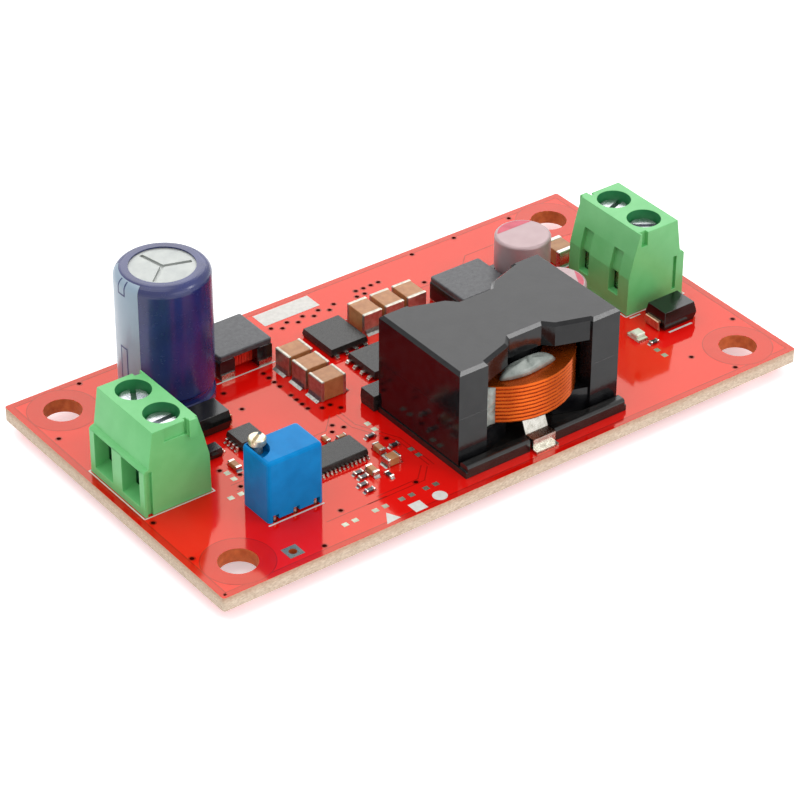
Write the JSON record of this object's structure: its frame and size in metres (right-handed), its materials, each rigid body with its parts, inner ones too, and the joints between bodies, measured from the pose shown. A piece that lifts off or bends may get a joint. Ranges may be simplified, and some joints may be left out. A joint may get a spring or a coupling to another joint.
{
  "type": "buck converter module",
  "caption": "Step-down voltage converter board with screw terminals at both ends, an open-wound power inductor, capacitors and an adjusting trimmer.",
  "frame": {"origin": "under the middle of the board, at the level of the tips of the soldered leads, on which the module rests", "axes": "+X along the board from the input terminal to the output terminal, +Y across the board away from the trimmer, +Z out of the component side"},
  "size_m": [0.0746, 0.041, 0.0194],
  "materials": {
    "board_mask": "glossy red solder mask over glass-epoxy laminate",
    "terminal_green": "moulded green polyamide",
    "plated_steel": "zinc plated",
    "tinned_metal": "tin plated",
    "can_aluminium": "bright drawn aluminium",
    "sleeve_blue": "shrunk plastic sleeve",
    "trimmer_blue": "moulded thermoset",
    "brass": "turned, lightly plated",
    "ferrite": "lacquered ferrite",
    "copper_enamel": "enamelled flat copper wire",
    "red_enamel": "enamelled round copper wire",
    "black_moulding": "black phenolic moulding",
    "glue_grey": "cured adhesive",
    "choke_plate": "ground ferrite plate",
    "ceramic_tan": "fired dielectric ceramic",
    "package_black": "moulded epoxy",
    "resistor_black": "glazed film on alumina",
    "led_lens": "pale clear epoxy",
    "solder": "solidified solder"
  },
  "bodies": {
    "root": {"circuit_board": "board_mask", "input_terminal_housing": "terminal_green", "input_terminal_contacts": "tinned_metal", "output_terminal_housing": "terminal_green", "output_terminal_contacts": "tinned_metal", "bulk_capacitor_can": "can_aluminium", "bulk_capacitor_sleeve": "sleeve_blue", "bulk_capacitor_leads": "tinned_metal", "trimmer_body": "trimmer_blue", "trimmer_leads": "tinned_metal", "inductor_core_upper": "ferrite", "inductor_core_lower": "ferrite", "inductor_coil": "copper_enamel", "inductor_header": "black_moulding", "inductor_clips": "tinned_metal", "inductor_glue": "glue_grey", "input_choke_core": "ferrite", "input_choke_plate": "choke_plate", "input_choke_winding": "red_enamel", "input_choke_terminals": "tinned_metal", "output_choke_core": "ferrite", "output_choke_plate": "choke_plate", "output_choke_winding": "red_enamel", "output_choke_terminals": "tinned_metal", "input_ceramic_capacitors": "ceramic_tan", "input_ceramic_capacitor_ends": "tinned_metal", "output_ceramic_capacitors": "ceramic_tan", "output_ceramic_capacitor_ends": "tinned_metal", "power_transistor_1": "package_black", "power_transistor_2": "package_black", "power_transistor_leads": "tinned_metal", "controller_chip": "package_black", "controller_chip_leads": "tinned_metal", "driver_chip": "package_black", "driver_chip_leads": "tinned_metal", "rear_chip": "package_black", "small_diode": "package_black", "small_diode_leads": "tinned_metal", "input_diode": "package_black", "input_diode_leads": "tinned_metal", "output_diode": "package_black", "output_diode_leads": "tinned_metal", "polymer_capacitor_1": "can_aluminium", "polymer_capacitor_2": "can_aluminium", "polymer_capacitor_bases": "black_moulding", "polymer_capacitor_leads": "tinned_metal", "status_led": "led_lens", "chip_resistors": "resistor_black", "chip_capacitors": "ceramic_tan", "chip_end_caps": "tinned_metal", "solder_joints": "solder"},
    "input_screw_1": {"input_terminal_screw_1": "plated_steel"},
    "input_clamp_1": {"input_terminal_clamp_1": "plated_steel"},
    "input_screw_2": {"input_terminal_screw_2": "plated_steel"},
    "input_clamp_2": {"input_terminal_clamp_2": "plated_steel"},
    "output_screw_1": {"output_terminal_screw_1": "plated_steel"},
    "output_clamp_1": {"output_terminal_clamp_1": "plated_steel"},
    "output_screw_2": {"output_terminal_screw_2": "plated_steel"},
    "output_clamp_2": {"output_terminal_clamp_2": "plated_steel"},
    "trimmer_screw": {"trimmer_screw": "brass"}
  },
  "joints": [
    {"name": "input_screw_1_turn", "type": "hinge", "parent": "root", "child": "input_screw_1", "pos_m": [-0.03223, -0.00244, 0.0108], "axis": [0, 0, -1], "range_deg": [0, 1260]},
    {"name": "input_clamp_1_rise", "type": "slide", "parent": "root", "child": "input_clamp_1", "axis": [0, 0, 1], "range_m": [0, 0.00175]},
    {"name": "input_screw_2_turn", "type": "hinge", "parent": "root", "child": "input_screw_2", "pos_m": [-0.03223, 0.00264, 0.0108], "axis": [0, 0, -1], "range_deg": [0, 1260]},
    {"name": "input_clamp_2_rise", "type": "slide", "parent": "root", "child": "input_clamp_2", "axis": [0, 0, 1], "range_m": [0, 0.00175]},
    {"name": "output_screw_1_turn", "type": "hinge", "parent": "root", "child": "output_screw_1", "pos_m": [0.0308, 0.00294, 0.0108], "axis": [0, 0, -1], "range_deg": [0, 1260]},
    {"name": "output_clamp_1_rise", "type": "slide", "parent": "root", "child": "output_clamp_1", "axis": [0, 0, 1], "range_m": [0, 0.00175]},
    {"name": "output_screw_2_turn", "type": "hinge", "parent": "root", "child": "output_screw_2", "pos_m": [0.0308, -0.00214, 0.0108], "axis": [0, 0, -1], "range_deg": [0, 1260]},
    {"name": "output_clamp_2_rise", "type": "slide", "parent": "root", "child": "output_clamp_2", "axis": [0, 0, 1], "range_m": [0, 0.00175]},
    {"name": "trimmer_screw_turn", "type": "hinge", "parent": "root", "child": "trimmer_screw", "pos_m": [-0.02558, -0.00954, 0.01034], "axis": [0, 0, 1], "continuous": true}
  ],
  "couplings": [
    {"joint": "input_screw_1_turn", "follows": "input_clamp_1_rise", "rad_per_m": 12566},
    {"joint": "input_screw_2_turn", "follows": "input_clamp_2_rise", "rad_per_m": 12566},
    {"joint": "output_screw_1_turn", "follows": "output_clamp_1_rise", "rad_per_m": 12566},
    {"joint": "output_screw_2_turn", "follows": "output_clamp_2_rise", "rad_per_m": 12566}
  ]
}
